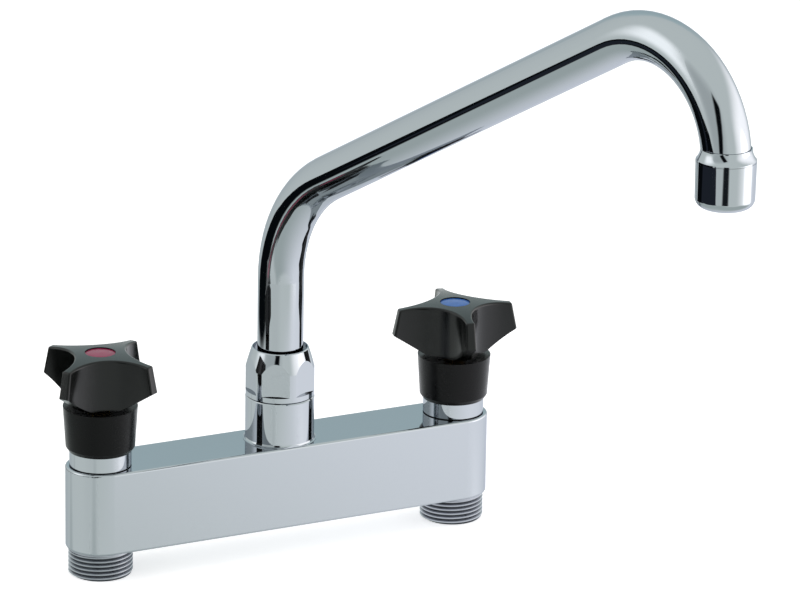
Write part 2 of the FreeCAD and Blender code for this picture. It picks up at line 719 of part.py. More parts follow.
def outer_handle_edges(shape, crown_low, rim_low):
    """Names of the edges that a hand feels: the top outline and the tips' upright edges."""
    names = []
    inner_radius = value("button_diameter / 2") + 1.0
    for i, edge in enumerate(shape.Edges, start=1):
        box = edge.BoundBox
        middle = edge.valueAt((edge.FirstParameter + edge.LastParameter) / 2)
        if math.hypot(middle.x, middle.y) < inner_radius:
            continue
        on_top = box.ZMin > crown_low - 1e-3
        on_tip = box.ZMin > rim_low - 1e-3 and box.ZMax < crown_low + 0.2 and box.ZLength > 1.0
        if on_top or on_tip:
            names.append("Edge%d" % i)
    return names


def make_handle(side, x, angle):
    """Cross handle: a crowned disc with four hollows, bored for the spline, screw and button."""
    body = new_body(side + "_handle")
    tip_high = "(%s - handle_crown)" % HANDLE_TOP
    tip_low = "(%s - handle_tip_height)" % tip_high
    rim = "handle_tip_top_radius"
    crown = "((%s * %s + handle_crown * handle_crown) / (2 * handle_crown))" % (rim, rim)
    revolve(body, side + "_handle_turning", [
        ("0", HANDLE_BASE), ("handle_hub_diameter / 2", HANDLE_BASE),
        ("handle_tip_bottom_radius", tip_low), (rim, tip_high, crown, 1), ("0", HANDLE_TOP)])

    seat = "button_diameter / 2 + seated_clearance"
    well = "screw_well_diameter / 2"
    hole = "handle_screw_diameter / 2 + guide_clearance"
    revolve(body, side + "_handle_bore", [
        ("0", "%s - axial_clearance" % WEB_BASE), (hole, "%s - axial_clearance" % WEB_BASE), (hole, WEB_TOP),
        (well, WEB_TOP), (well, BUTTON_BASE), (seat, BUTTON_BASE), (seat, "%s + 1" % HANDLE_TOP),
        ("0", "%s + 1" % HANDLE_TOP)], "PartDesign::Groove")
    doc.recompute()

    radius, distance = scallop_circle()
    sketch = new_sketch(body, side + "_handle_hollow_section", "XY_Plane", "%s - 1" % HANDLE_BASE)
    diagonal = "180deg / handle_lobes"
    draw_circle(sketch, radius, "%s * cos(%s)" % (distance, diagonal),
                "%s * sin(%s)" % (distance, diagonal))
    hollow = cut(body, side + "_handle_hollow", sketch, "handle_height + 2")
    polar_copies(body, side + "_handle_hollows", hollow, int(value("handle_lobes")))
    doc.recompute()
    edges = outer_handle_edges(body.Shape, value(tip_high), value(tip_low))
    dress(body, side + "_handle_rounding", edges, "handle_edge_radius")
    doc.recompute()

    sketch = new_sketch(body, side + "_handle_spline_section", "XY_Plane", HANDLE_BASE)
    draw_outline(sketch, spline_outline("seated_clearance"))
    cut(body, side + "_handle_spline", sketch, "%s - %s" % (WEB_BASE, HANDLE_BASE))
    place(body, x, angle)


def make_handle_screw(side, x):
    """Screw under the button that pulls the handle down on the spline."""
    head_top = "%s + handle_screw_head_height" % WEB_TOP
    shank = "handle_screw_diameter / 2"
    shank_low = "%s - handle_screw_length + 2 * axial_clearance" % SPLINE_TOP
    turned_piece(side + "_handle_screw", [
        ("0", shank_low), (shank, shank_low), (shank, WEB_TOP),
        ("handle_screw_head_diameter / 2", WEB_TOP), ("handle_screw_head_diameter / 2", head_top),
        ("0", head_top)], x)


def make_index_button(side, x):
    """Coloured cap pressed into the crown of the handle, its face a little below the rim."""
    top = "(%s + button_thickness)" % BUTTON_BASE
    edge = "(%s - button_crown)" % top
    low = "(%s - button_plug_length)" % BUTTON_BASE
    turned_piece(side + "_index_button", [
        ("0", low), ("button_plug_diameter / 2", low), ("button_plug_diameter / 2", BUTTON_BASE),
        ("button_diameter / 2", BUTTON_BASE), ("button_diameter / 2", edge),
        ("button_diameter / 3", "%s + button_crown * 0.6" % edge), ("0", top)], x)


# ---------------------------------------------------------------- spout

def make_spout_spigot():
    """Socket screwed into the well, with a flared foot filed flush to the body's faces."""
    body = new_body("spout_spigot")
    outer = "spigot_diameter / 2"
    shank = "valve_thread_diameter / 2"
    shank_low = "(body_height - spigot_shank_length)"
    floor = SPIGOT_FLOOR
    foot = "spigot_diameter / 2 + spigot_foot_radius"
    neck = "spigot_neck_diameter / 2"
    sketch = new_sketch(body, "spout_spigot_outline")
    draw_outline(sketch, [
        ("foot_bore / 2", shank_low), (shank, shank_low), (shank, "body_height"),
        (foot, "body_height"), (foot, "body_height + 0.15"),
        ("%s + spigot_foot_radius * 0.3" % outer, "body_height + spigot_foot_radius * 0.45"),
        (outer, "body_height + spigot_foot_radius * 1.2"),
        (outer, "%s - spigot_edge_chamfer" % SPIGOT_TOP),
        ("%s - spigot_edge_chamfer" % outer, SPIGOT_TOP), (neck, SPIGOT_TOP), (neck, NECK_TOP),
        (SWIVEL_BORE, NECK_TOP), (SWIVEL_BORE, floor), ("foot_bore / 2", floor)])
    turning = body.newObject("PartDesign::Revolution", "spout_spigot_turning")
    turning.Profile = sketch
    turning.ReferenceAxis = (sketch, ["V_Axis"])
    turning.Angle = 360
    # file the flare flush at the front and the back
    sketch = new_sketch(body, "spout_spigot_filing_section", "XY_Plane", "body_height")
    near = "body_depth / 2 - spigot_foot_inset"
    far = "body_depth"
    for sign in ("", "0 - "):
        y_near, y_far = (near, far) if sign == "" else ("0 - (%s)" % near, "0 - %s" % far)
        draw_outline(sketch, [("0 - body_depth", y_near), ("body_depth", y_near),
                              ("body_depth", y_far), ("0 - body_depth", y_far)])
    extrude(body, "spout_spigot_filing", sketch, "spigot_foot_radius * 1.2", "PartDesign::Pocket")


def make_spout_nut():
    """Hexagonal gland nut with a round flange and a domed shoulder."""
    body = new_body("spout_nut")
    outer = "nut_diameter / 2"
    thread = "spigot_neck_diameter / 2 + seated_clearance"
    rim = "nut_rim_diameter / 2"
    shoulder = "(%s + nut_shoulder_height)" % NUT_BASE
    well = "tube_diameter / 2 + nut_well_gap"
    well_floor = "%s - nut_well_depth" % NUT_TOP
    revolve(body, "spout_nut_turning", [
        (thread, NUT_BASE), ("%s - spigot_edge_chamfer" % outer, NUT_BASE),
        (outer, "%s + spigot_edge_chamfer" % NUT_BASE), (outer, shoulder, "nut_dome_radius", 1),
        (rim, "%s - 0.3" % NUT_TOP), ("%s - 0.3" % rim, NUT_TOP), (well, NUT_TOP),
        (well, well_floor), (SWIVEL_BORE, well_floor), (SWIVEL_BORE, NUT_SHOULDER),
        (thread, NUT_SHOULDER)])
    flats_low = "(%s + nut_flange_height)" % NUT_BASE
    sketch = new_sketch(body, "spout_nut_flats_section", "XY_Plane", flats_low)
    draw_circle(sketch, "nut_diameter")
    draw_polygon(sketch, 6, "nut_flats")
    cut(body, "spout_nut_flats", sketch, "nut_height")
    place(body, "0", "nut_turn_angle")


def make_spout_tube():
    """Swivel tube: upright riser, knee, rising arm, and the end bend that turns straight down."""
    body = new_body("spout_tube")
    start = FOOT_COLLAR
    angle = math.radians(value("spout_rise_angle"))
    knee_r, end_r = value("spout_knee_radius"), value("spout_end_radius")
    knee_z, reach = value(KNEE_HEIGHT), value("spout_reach")
    low, high = value(start), value(TUBE_END)
    setback = knee_r * math.tan((math.pi / 2 - angle) / 2)
    arm_start = Vector(setback * math.cos(angle), knee_z + setback * math.sin(angle), 0)
    arm_end_x = reach - end_r * (1 + math.sin(angle))
    arm_end = Vector(arm_end_x, knee_z + arm_end_x * math.tan(angle), 0)
    knee_centre = Vector(knee_r, knee_z - setback, 0)
    end_centre = Vector(reach - end_r, arm_end.y - end_r * math.cos(angle), 0)
    path = new_sketch(body, "spout_tube_path")
    up = Vector(0, 0, 1)
    path.addGeometry(Part.LineSegment(Vector(0, low, 0), Vector(0, knee_centre.y, 0)), False)
    path.addGeometry(Part.ArcOfCircle(Part.Circle(knee_centre, up, knee_r),
                                      math.pi / 2 + angle, math.pi), False)
    path.addGeometry(Part.LineSegment(arm_start, arm_end), False)
    path.addGeometry(Part.ArcOfCircle(Part.Circle(end_centre, up, end_r), 0,
                                      math.pi / 2 + angle), False)
    path.addGeometry(Part.LineSegment(Vector(reach, end_centre.y, 0), Vector(reach, high, 0)), False)
    for near, near_end, far, far_end in ((0, 2, 1, 2), (1, 1, 2, 1), (2, 2, 3, 2), (3, 1, 4, 1)):
        path.addConstraint(Sketcher.Constraint("Tangent", near, near_end, far, far_end))
    pin_point(path, 0, 1, "0", start, "start")
    pin_point(path, 4, 2, "spout_reach", TUBE_END, "end")
    path.addConstraint(Sketcher.Constraint("Vertical", 0))
    path.addConstraint(Sketcher.Constraint("Vertical", 4))
    set_radius(path, 1, "spout_knee_radius")
    set_radius(path, 3, "spout_end_radius")
    index = path.addConstraint(Sketcher.Constraint("Angle", 2, angle))
    path.renameConstraint(index, "rise_angle")
    path.setExpression("Constraints.rise_angle", d("spout_rise_angle * 1deg"))
    knee_height = "%s - spout_knee_radius * tan((90deg - %s) / 2)" % (KNEE_HEIGHT, RISE)
    index = path.addConstraint(Sketcher.Constraint("DistanceY", 0, 2, value(knee_height)))
    path.renameConstraint(index, "riser_top")
    path.setExpression("Constraints.riser_top", d(knee_height))
    section = new_sketch(body, "spout_tube_section", "XY_Plane", start)
    draw_circle(section, "tube_diameter / 2")
    draw_circle(section, TUBE_BORE)
    doc.recompute()
    pipe = body.newObject("PartDesign::AdditivePipe", "spout_tube_pipe")
    pipe.Profile = section
    pipe.Spine = (path, ["Edge%d" % i for i in range(1, 6)])
    place(body, "0", "spout_rest_angle")
    doc.recompute()
    length = sum(edge.Length for edge in path.Shape.Edges)
    section_area = math.pi * (value("tube_diameter / 2") ** 2 - value(TUBE_BORE) ** 2)
    print("spout tube volume %.1f, section times length %.1f" % (body.Shape.Volume,
                                                                 section_area * length))


def make_spout_foot():
    """Turned brass foot brazed into the tube: two seal grooves and a groove for the split ring."""
    body = new_body("spout_foot")
    outer = "tube_diameter / 2"
    seal_floor = "tube_diameter / 2 - spout_o_ring_width"
    ring_floor = "tube_diameter / 2 - split_ring_bite"
    bore = "foot_bore / 2"
    plug = "(%s - seated_clearance)" % TUBE_BORE
    collar = FOOT_COLLAR
    outline = [(bore, FOOT_BASE), ("%s - 0.5" % outer, FOOT_BASE), (outer, "%s + 0.5" % FOOT_BASE)]
    outline += grooves(FOOT_RING, "spout_o_ring_spacing", "spout_o_ring_width", seal_floor, outer)
    outline += [(outer, "%s - axial_clearance" % RING_BASE), (ring_floor, "%s - axial_clearance" % RING_BASE),
                (ring_floor, "%s + axial_clearance" % RING_TOP), (outer, "%s + axial_clearance" % RING_TOP),
                (outer, collar), (plug, collar), (plug, "%s + foot_plug_length" % collar),
                (bore, "%s + foot_plug_length" % collar)]
    revolve(body, "spout_foot_turning", outline)
    place(body, "0", "spout_rest_angle")


def make_spout_split_ring():
    """Open ring between the spigot's neck and the nut's shoulder, biting in the foot's groove."""
    body = new_body("spout_split_ring")
    inner = "tube_diameter / 2 - split_ring_bite + spout_clearance"
    outer = "spigot_neck_diameter / 2 - axial_clearance"
    revolve(body, "spout_split_ring_turning", [
        (inner, RING_BASE), (outer, RING_BASE), (outer, RING_TOP), (inner, RING_TOP)])
    sketch = new_sketch(body, "spout_split_ring_gap_section", "XY_Plane", RING_BASE)
    draw_outline(sketch, [("0", "0 - split_ring_gap / 2"), ("nut_diameter", "0 - split_ring_gap / 2"),
                          ("nut_diameter", "split_ring_gap / 2"), ("0", "split_ring_gap / 2")])
    cut(body, "spout_split_ring_gap", sketch, "split_ring_thickness")


def turned_at_outlet(name, outline):
    """A turned piece on the outlet's axis, at the end of the spout's reach."""
    body = new_body(name)
    revolve(body, name + "_turning", outline)
    place_at_outlet(body)
    return body


def place_at_outlet(piece):
    """The outlet's axis lies spout_reach away along the spout's rest direction."""
    turn = "spout_rest_angle * 1deg"
    piece.Placement = Placement(Vector(), Rotation(Vector(0, 0, 1), value("spout_rest_angle")))
    piece.setExpression("Placement.Base.x", d("spout_reach * cos(%s)" % turn))
    piece.setExpression("Placement.Base.y", d("spout_reach * sin(%s)" % turn))
    piece.setExpression("Placement.Rotation.Angle", d(turn))


def make_spout_nozzle():
    """Brazed end of the tube: a concave flare around the bend's foot, then the aerator's thread."""
    rim = "(nozzle_rim_diameter / 2)"
    thread = "nozzle_thread_diameter / 2"
    socket = "(tube_diameter / 2 + spout_clearance)"
    lip = "(%s + nozzle_lip)" % socket
    rim_top = "(%s + nozzle_rim_height)" % OUTLET_SEAM
    step = "(%s - %s)" % (rim, lip)
    flare = "((%s * %s + nozzle_flare_height * nozzle_flare_height) / (2 * %s))" % (step, step, step)
    body = turned_at_outlet("spout_nozzle", [
        ("nozzle_bore / 2", NOZZLE_BASE), (thread, NOZZLE_BASE), (thread, OUTLET_SEAM),
        (rim, OUTLET_SEAM), (rim, rim_top, flare, -1), (lip, NOZZLE_TOP),
        ("nozzle_bore / 2", NOZZLE_TOP)])
    section = new_sketch(body, "spout_nozzle_socket_section", "XY_Plane", SOCKET_BASE)
    draw_circle(section, socket)
    path = socket_path(body)
    doc.recompute()
    pipe = body.newObject("PartDesign::SubtractivePipe", "spout_nozzle_socket")
    pipe.Profile = section
    pipe.Spine = (path, ["Edge1", "Edge2"])


def socket_path(body):
    """Line of the tube's end inside its socket: straight at first, then round the end bend."""
    low, bend = value(SOCKET_BASE), value(BEND_BASE)
    radius = value("spout_end_radius")
    circle = Part.Circle(Vector(-radius, bend, 0), Vector(0, 0, 1), radius)
    sweep = math.asin((value(NOZZLE_TOP) + 2 - bend) / radius)
    path = new_sketch(body, "spout_nozzle_socket_path")
    path.addGeometry(Part.LineSegment(Vector(0, low, 0), Vector(0, bend, 0)), False)
    path.addGeometry(Part.ArcOfCircle(circle, 0, sweep), False)
    path.addConstraint(Sketcher.Constraint("Tangent", 0, 2, 1, 1))
    pin_point(path, 0, 1, "0", SOCKET_BASE, "start")
    pin_point(path, 0, 2, "0", BEND_BASE, "bend")
    set_radius(path, 1, "spout_end_radius")
    top = "%s + 2" % NOZZLE_TOP
    index = path.addConstraint(Sketcher.Constraint("DistanceY", 1, 2, value(top)))
    path.renameConstraint(index, "socket_top")
    path.setExpression("Constraints.socket_top", d(top))
    return path


def make_aerator_housing():
    """Chromed cap that screws onto the nozzle, tapered a little and rounded at the mouth."""
    top = "aerator_diameter / 2"
    low = "aerator_diameter / 2 - aerator_taper"
    thread = "nozzle_thread_diameter / 2 + seated_clearance"
    step = "%s - 0.5" % NOZZLE_BASE
    body = turned_at_outlet("aerator_housing", [
        ("aerator_mouth / 2", AERATOR_BASE), (low, AERATOR_BASE), (top, AERATOR_TOP), (thread, AERATOR_TOP), (thread, step), ("aerator_pocket / 2", step),
        ("aerator_pocket / 2", POCKET_BASE), ("aerator_mouth / 2", POCKET_BASE)])
    doc.recompute()
    shape = body.Tip.Shape
    edges = ring_edges(shape, value(low), value(AERATOR_BASE))
    dress(body, "aerator_housing_edge", edges, "aerator_edge_radius")


def make_aerator_insert():
    """Plastic jet former: a cup whose floor has rings of small holes."""
    body = new_body("aerator_insert")
    outer = "(aerator_pocket / 2 - seated_clearance)"
    base = "(%s + seated_clearance)" % POCKET_BASE
    top = "(%s - aerator_washer_thickness - 2 * seated_clearance)" % NOZZLE_BASE
    plate = "(%s + insert_plate)" % base
    revolve(body, "aerator_insert_cup", [
        ("0", base), (outer, base), (outer, top), ("%s - insert_wall" % outer, top),
        ("%s - insert_wall" % outer, plate), ("0", plate)])
    for ring, holes in ((0, 1), (1, 6), (2, 12)):
        sketch = new_sketch(body, "aerator_insert_ring_%d_section" % ring, "XY_Plane", base)
        draw_circle(sketch, "insert_hole / 2", "insert_ring_pitch * %d" % ring, "0")
        hole = cut(body, "aerator_insert_ring_%d" % ring, sketch, "insert_plate")
        if holes > 1:
            polar_copies(body, "aerator_insert_ring_%d_copies" % ring, hole, holes)
            doc.recompute()
    place_at_outlet(body)


def make_aerator_washer():
    """Rubber ring squeezed between the nozzle and the jet former."""
    outer = "aerator_pocket / 2 - seated_clearance"
    inner = "%s - aerator_washer_width" % outer
    top = "%s - seated_clearance" % NOZZLE_BASE
    low = "%s - aerator_washer_thickness" % top
    turned_at_outlet("aerator_washer", [(inner, low), (outer, low), (outer, top), (inner, top)])


# ---------------------------------------------------------------- assembly

make_mixer_body()
for side, x, handle_angle in (("hot", "0 - inlet_centres / 2", "hot_handle_angle"),
                              ("cold", "inlet_centres / 2", "cold_handle_angle")):
    make_inlet_nipple(side, x)
    make_bonnet(side, x)
    make_bonnet_washer(side, x)
    make_spindle(side, x, handle_angle)
    make_o_rings(side + "_spindle_o_rings", STEM_RING, "spindle_o_ring_spacing",
                 "spindle_o_ring_width",
                 "spindle_diameter / 2 + running_clearance - seal_clearance", x)
    make_retaining_clip(side, x)
    make_plunger(side, x)
    make_seat_washer(side, x)
    make_washer_screw(side, x)
    make_sleeve(side, x)
    make_handle(side, x, handle_angle)
    make_handle_screw(side, x)
    make_index_button(side, x)
make_spout_spigot()
make_spout_nut()
make_spout_tube()
make_spout_foot()
make_o_rings("spout_o_rings", FOOT_RING, "spout_o_ring_spacing", "spout_o_ring_width",
             "%s - seal_clearance" % SWIVEL_BORE, "0")
make_spout_split_ring()
make_spout_nozzle()
make_aerator_housing()
make_aerator_insert()
make_aerator_washer()
doc.recompute()

for thing in doc.Objects:
    faults = [state for state in thing.State if state in ("Invalid", "Error")]
    if faults:
        raise RuntimeError("%s: %s" % (thing.Name, faults))
for piece in pieces:
    if piece.Shape.isNull() or not piece.Shape.isValid():
        raise RuntimeError("bad shape: %s" % piece.Label)

os.makedirs("parts", exist_ok=True)
for piece in pieces:
    piece.Shape.exportStep(os.path.join("parts", piece.Label + ".step"))
    print("%-26s %9.1f mm3" % (piece.Label, piece.Shape.Volume))
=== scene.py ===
import math

import bpy
from mathutils import Matrix, Vector


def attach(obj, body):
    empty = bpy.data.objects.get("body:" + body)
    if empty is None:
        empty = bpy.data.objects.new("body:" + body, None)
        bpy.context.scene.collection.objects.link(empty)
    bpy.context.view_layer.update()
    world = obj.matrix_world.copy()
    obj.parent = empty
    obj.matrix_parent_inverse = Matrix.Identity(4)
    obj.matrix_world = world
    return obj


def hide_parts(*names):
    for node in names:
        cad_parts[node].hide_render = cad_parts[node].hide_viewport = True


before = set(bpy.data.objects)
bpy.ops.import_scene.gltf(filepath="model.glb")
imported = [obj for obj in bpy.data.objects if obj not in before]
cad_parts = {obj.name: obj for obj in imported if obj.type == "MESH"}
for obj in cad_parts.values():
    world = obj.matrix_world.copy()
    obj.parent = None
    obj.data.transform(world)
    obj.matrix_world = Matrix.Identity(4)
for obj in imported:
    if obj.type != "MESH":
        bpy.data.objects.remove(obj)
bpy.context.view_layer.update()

# ---------------------------------------------------------------------------
# Mixer body, spigot, nut, bonnet collars, spout and aerator cap: brass, ground and buffed, then
# plated with nickel and chromium. The eye sees the room in it, a little soft and a little wavy
# where the buffing wheel has passed.


def linear(hex_colour):
    """Linear colour with alpha from an sRGB hex value."""
    parts = [int(hex_colour[i:i + 2], 16) / 255 for i in (0, 2, 4)]
    return [p / 12.92 if p <= 0.04045 else ((p + 0.055) / 1.055) ** 2.4 for p in parts] + [1.0]


def add_node(tree, kind, settings=None, **links):
    """A node with its settings; a link names an input and gives a (node, output) or a value."""
    node = tree.nodes.new(kind)
    for key, setting in (settings or {}).items():
        setattr(node, key, setting)
    for key, source in links.items():
        numbered = key[0] == "i" and key[1:].isdigit()
        socket = node.inputs[int(key[1:]) if numbered else key.replace("_", " ")]
        if isinstance(source, tuple) and hasattr(source[0], "outputs"):
            tree.links.new(source[0].outputs[source[1]], socket)
        else:
            socket.default_value = source
    return node


def new_material(name, colour, metallic, roughness):
    """A material with its plain sockets set, its tree, its shader and its Object coordinates."""
    material = bpy.data.materials.new(name)
    material.use_nodes = True
    tree = material.node_tree
    shader = tree.nodes["Principled BSDF"]
    shader.inputs["Base Color"].default_value = linear(colour)
    shader.inputs["Metallic"].default_value = metallic
    shader.inputs["Roughness"].default_value = roughness
    place = add_node(tree, "ShaderNodeTexCoord")
    return material, tree, shader, place


def noise(tree, place, size_mm, detail, stretch=(1, 1, 1)):
    """Noise whose lumps are size_mm across, stretched where a factor is below 1."""
    mapping = add_node(tree, "ShaderNodeMapping", Vector=(place, "Object"), Scale=stretch)
    return add_node(tree, "ShaderNodeTexNoise", Vector=(mapping, "Vector"),
                    Scale=1000 / size_mm, Detail=detail)


def spread(tree, source, low, high, socket, start=0.3, stop=0.7):
    """Carry a noise between two values to a socket of the shader."""
    reach = add_node(tree, "ShaderNodeMapRange", Value=source, From_Min=start, From_Max=stop,
                     To_Min=low, To_Max=high)
    tree.links.new(reach.outputs["Result"], socket)


def relief(tree, shader, source, depth_mm):
    """Raise the surface by a bump of depth_mm."""
    bump = add_node(tree, "ShaderNodeBump", Distance=depth_mm / 1000, Height=source)
    tree.links.new(bump.outputs["Normal"], shader.inputs["Normal"])


def tint(tree, shader, source, low, high):
    """Blend two colours by a noise into the base colour."""
    mix = add_node(tree, "ShaderNodeMix", {"data_type": "RGBA"}, i0=source, i6=linear(low),
                   i7=linear(high))
    tree.links.new(mix.outputs[2], shader.inputs["Base Color"])


def dress(node_names, material):
    """Give carried-over nodes their material."""
    for node_name in node_names:
        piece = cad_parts[node_name]
        piece.data.materials.clear()
        piece.data.materials.append(material)
        for face in piece.data.polygons:
            face.material_index = 0


BUFFING_WAVE_MM = 14.0
HAZE_MM = 5.0
chrome, tree, shader, place = new_material("bright_chrome_plate", "B2B6BA", 1.0, 0.04)
shader.inputs["Specular Tint"].default_value = linear("D2D5DA")
haze = noise(tree, place, HAZE_MM, detail=3.0)
spread(tree, (haze, "Fac"), 0.025, 0.06, shader.inputs["Roughness"])
wave = noise(tree, place, BUFFING_WAVE_MM, detail=0.0)
relief(tree, shader, (wave, "Fac"), depth_mm=0.02)
dress(("mixer_body", "spout_spigot", "spout_nut", "spout_tube", "spout_nozzle", "aerator_housing",
       "hot_bonnet", "cold_bonnet"), chrome)

# ---------------------------------------------------------------------------
# Two inlet tails: turned brass nipples with a G 3/4 pipe thread cut on them, plated dull. The
# thread climbs to the right, its crests are cut flat by the blank, and it runs out in a chamfer
# at the open end and against a narrow shoulder below the body.

TAIL_X = 0.0805
TAIL_END = -0.0115
CREST_RADIUS = 0.01322
ROOT_RADIUS = 0.01206
THREAD_PITCH = 0.001814
TAIL_CHAMFER = 0.00075
SHOULDER_HEIGHT = 0.0008
SHANK_RADIUS = 0.0100
SHANK_TOP = 0.0090
BORE_RADIUS = 0.0070
TURNING_STEPS = 96
HELIX_STEPS = 72
HELIX_TURNS = 8
FLANK_ANGLE = math.radians(27.5)
RIDGE_GAP = 0.04
SMOOTH_BELOW = math.radians(28)
NEAR = 1e-6


def begin(name):
    """Name the object just added and enter edit mode with nothing selected."""
    piece = bpy.context.object
    piece.name = name
    bpy.ops.object.mode_set(mode="EDIT")
    bpy.ops.mesh.select_mode(type="FACE")
    bpy.ops.mesh.select_all(action="DESELECT")
    return piece


def pick(piece, test):
    """Select the faces whose centre passes a test, and stay in edit mode."""
    bpy.ops.object.mode_set(mode="OBJECT")
    for face in piece.data.polygons:
        face.select = test(face.center)
    bpy.ops.object.mode_set(mode="EDIT")


def step_out(height, factor):
    """Extrude the selected face straight along Z, then widen it by a factor."""
    bpy.ops.mesh.extrude_region_move(TRANSFORM_OT_translate={"value": (0, 0, height)})
    bpy.ops.transform.resize(value=(factor, factor, 1))


def carve(piece, other, operation):
    """Apply a boolean with another piece, then drop the other."""
    bpy.ops.object.mode_set(mode="OBJECT")
    modifier = piece.modifiers.new(operation, "BOOLEAN")
    modifier.operation = operation
    modifier.solver = "EXACT"
    modifier.object = other
    bpy.context.view_layer.objects.active = piece
    bpy.ops.object.modifier_apply(modifier=modifier.name)
    bpy.data.objects.remove(other)


def make_tail_blank(name):
    """Lathe-turned core: the thread's root, a shoulder, the shank inside the body, and a bore."""
    length = -TAIL_END - SHOULDER_HEIGHT
    bpy.ops.object.select_all(action="DESELECT")
    bpy.ops.mesh.primitive_cylinder_add(vertices=TURNING_STEPS, radius=ROOT_RADIUS,
                                        depth=length, location=(0, 0, TAIL_END + length / 2))
    bpy.ops.object.transform_apply(location=True, rotation=False, scale=False)
    core = begin(name)
    pick(core, lambda centre: centre.z > -SHOULDER_HEIGHT - NEAR)
    step_out(0, CREST_RADIUS / ROOT_RADIUS)
    step_out(SHOULDER_HEIGHT, 1)
    step_out(0, SHANK_RADIUS / CREST_RADIUS)
    step_out(SHANK_TOP, 1)
    step_out(0, BORE_RADIUS / SHANK_RADIUS)
    pick(core, lambda centre: centre.z < TAIL_END + NEAR)
    step_out(0, BORE_RADIUS / ROOT_RADIUS)
    pick(core, lambda centre: (centre.z > SHANK_TOP - NEAR or centre.z < TAIL_END + NEAR)
         and centre.xy.length < 10 * NEAR)
    bpy.ops.mesh.bridge_edge_loops()
    bpy.ops.object.mode_set(mode="OBJECT")
    return core


def make_thread_ridge():
    """One sharp ridge swept up the tail as a helix, trimmed to the blank's outer diameter."""
    ridge_height = (1 - RIDGE_GAP) * THREAD_PITCH / 2
    ridge_depth = ridge_height / math.tan(FLANK_ANGLE)
    bpy.ops.mesh.primitive_circle_add(vertices=4, radius=ridge_height, fill_type="NGON",
                                      rotation=(math.pi / 2, 0, 0))
    bpy.ops.object.transform_apply(location=False, rotation=True, scale=False)
    ridge = begin("tail_thread_ridge")
    bpy.ops.mesh.select_all(action="SELECT")
    bpy.ops.transform.resize(value=(ridge_depth / ridge_height, 1, 1))
    bpy.ops.transform.translate(value=(ROOT_RADIUS, 0, TAIL_END - THREAD_PITCH))
    bpy.ops.object.mode_set(mode="OBJECT")
    helix = ridge.modifiers.new("helix", "SCREW")
    helix.angle = 2 * math.pi
    helix.screw_offset = THREAD_PITCH
    helix.iterations = HELIX_TURNS
    helix.steps = HELIX_STEPS
    helix.render_steps = HELIX_STEPS
    bpy.ops.object.modifier_apply(modifier=helix.name)
    begin("tail_thread_ridge")
    bpy.ops.mesh.select_mode(type="EDGE")
    bpy.ops.mesh.select_non_manifold()
    bpy.ops.mesh.edge_face_add()
    bpy.ops.mesh.select_all(action="SELECT")
    bpy.ops.mesh.normals_make_consistent(inside=False)
    bpy.ops.object.mode_set(mode="OBJECT")
    length = -TAIL_END - SHOULDER_HEIGHT / 2
    bpy.ops.mesh.primitive_cylinder_add(vertices=TURNING_STEPS, radius=CREST_RADIUS,
                                        depth=length, location=(0, 0, TAIL_END + length / 2))
    bpy.ops.object.transform_apply(location=True, rotation=False, scale=False)
    envelope = begin("tail_envelope")
    pick(envelope, lambda centre: centre.z < TAIL_END + NEAR)
    bpy.ops.mesh.bevel(offset=TAIL_CHAMFER, segments=1, affect="EDGES")
    carve(ridge, envelope, "INTERSECT")
    return ridge


tail = make_tail_blank("hot_inlet_tail")
carve(tail, make_thread_ridge(), "UNION")
bpy.ops.object.select_all(action="DESELECT")
tail.select_set(True)
bpy.ops.object.shade_smooth_by_angle(angle=SMOOTH_BELOW)
begin("hot_inlet_tail")
bpy.ops.mesh.select_all(action="SELECT")
bpy.ops.transform.translate(value=(-TAIL_X, 0, 0))
bpy.ops.object.mode_set(mode="OBJECT")
bpy.ops.object.duplicate(linked=False)
other_tail = begin("cold_inlet_tail")
bpy.ops.mesh.select_all(action="SELECT")
bpy.ops.transform.translate(value=(2 * TAIL_X, 0, 0))
bpy.ops.object.mode_set(mode="OBJECT")

PLATING_STAIN_MM = 3.5
DIRT_MM = 0.9
STAIN_SHARE = 0.5
thread_plate, tree, shader, place = new_material("dull_plated_thread", "A9AAB0", 1.0, 0.26)
split = add_node(tree, "ShaderNodeSeparateXYZ", Vector=(place, "Object"))
aside = add_node(tree, "ShaderNodeMath", {"operation": "ABSOLUTE"}, i0=(split, "X"))
aside = add_node(tree, "ShaderNodeMath", {"operation": "SUBTRACT"}, i0=(aside, "Value"), i1=TAIL_X)
flat = add_node(tree, "ShaderNodeCombineXYZ", X=(aside, "Value"), Y=(split, "Y"))
radius = add_node(tree, "ShaderNodeVectorMath", {"operation": "LENGTH"}, i0=(flat, "Vector"))
# Painted shade: the colour darkens from the thread's crests into its roots, by the distance from
# the tail's axis, and random plating stains are mixed in.
painted_root_shade = add_node(tree, "ShaderNodeMapRange", {"interpolation_type": "SMOOTHSTEP"},
                 Value=(radius, "Value"), From_Min=ROOT_RADIUS, From_Max=CREST_RADIUS)
stain = noise(tree, place, PLATING_STAIN_MM, detail=3.0)
cover = add_node(tree, "ShaderNodeMath", {"operation": "MULTIPLY_ADD"}, i0=(stain, "Fac"),
                 i1=STAIN_SHARE, i2=-STAIN_SHARE / 2)
cover = add_node(tree, "ShaderNodeMath", {"operation": "ADD", "use_clamp": True},
                 i0=(painted_root_shade, "Result"), i1=(cover, "Value"))
tint(tree, shader, (cover, "Value"), "74777C", "A4A7AD")
spread(tree, (cover, "Value"), 0.44, 0.3, shader.inputs["Roughness"], start=0.0, stop=1.0)
dirt = noise(tree, place, DIRT_MM, detail=2.0)
relief(tree, shader, (dirt, "Fac"), depth_mm=0.02)
for piece, node_name in ((tail, "hot_inlet_nipple"), (other_tail, "cold_inlet_nipple")):
    piece.data.materials.clear()
    piece.data.materials.append(thread_plate)
    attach(piece, "mixer")
    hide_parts(node_name)

# ---------------------------------------------------------------------------
# Spindles, plungers, washer screws and the spout's foot: turned brass, left bare because nobody
# sees them once the valve is closed up. Fine turning rings run round each, and the yellow has
# dulled unevenly.

